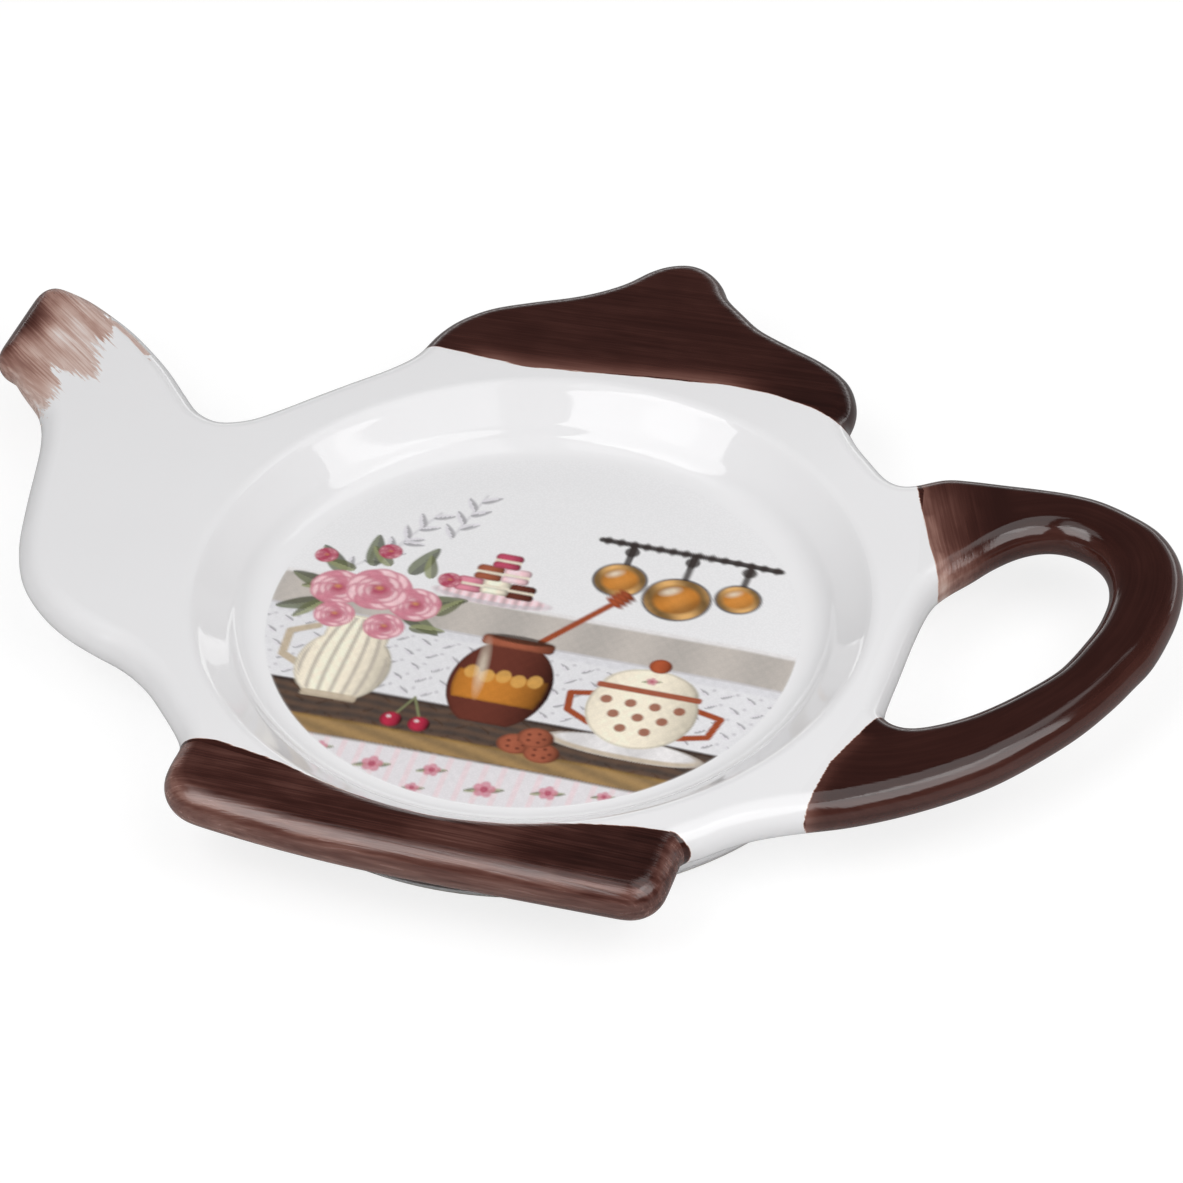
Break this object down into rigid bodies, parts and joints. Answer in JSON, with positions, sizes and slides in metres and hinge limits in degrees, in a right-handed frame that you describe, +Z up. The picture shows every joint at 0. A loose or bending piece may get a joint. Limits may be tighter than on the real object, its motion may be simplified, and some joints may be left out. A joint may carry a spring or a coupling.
{
  "type": "tea bag rest",
  "caption": "Glazed ceramic tea bag rest in the outline of a teapot, with a round shallow well, brown lid, handle and plinth, and a printed disc in the well.",
  "frame": {"origin": "under the middle of the outline, on the plane that the foot stands on", "axes": "+Z up out of the well, +X towards the handle, +Y towards the knob"},
  "size_m": [0.133, 0.101, 0.011],
  "materials": {
    "white_glaze": "glossy",
    "spout_glaze": "glossy, brushed brown at the mouth",
    "brown_glaze": "glossy, brushed",
    "bare_clay": "matt, unglazed",
    "print": "glossy print under glaze"
  },
  "bodies": {
    "root": {"well": "white_glaze", "foot_ring": "bare_clay", "rim": "white_glaze", "spout": "spout_glaze", "lid": "brown_glaze", "handle": "brown_glaze", "plinth": "brown_glaze", "print": "print"}
  },
  "joints": []
}
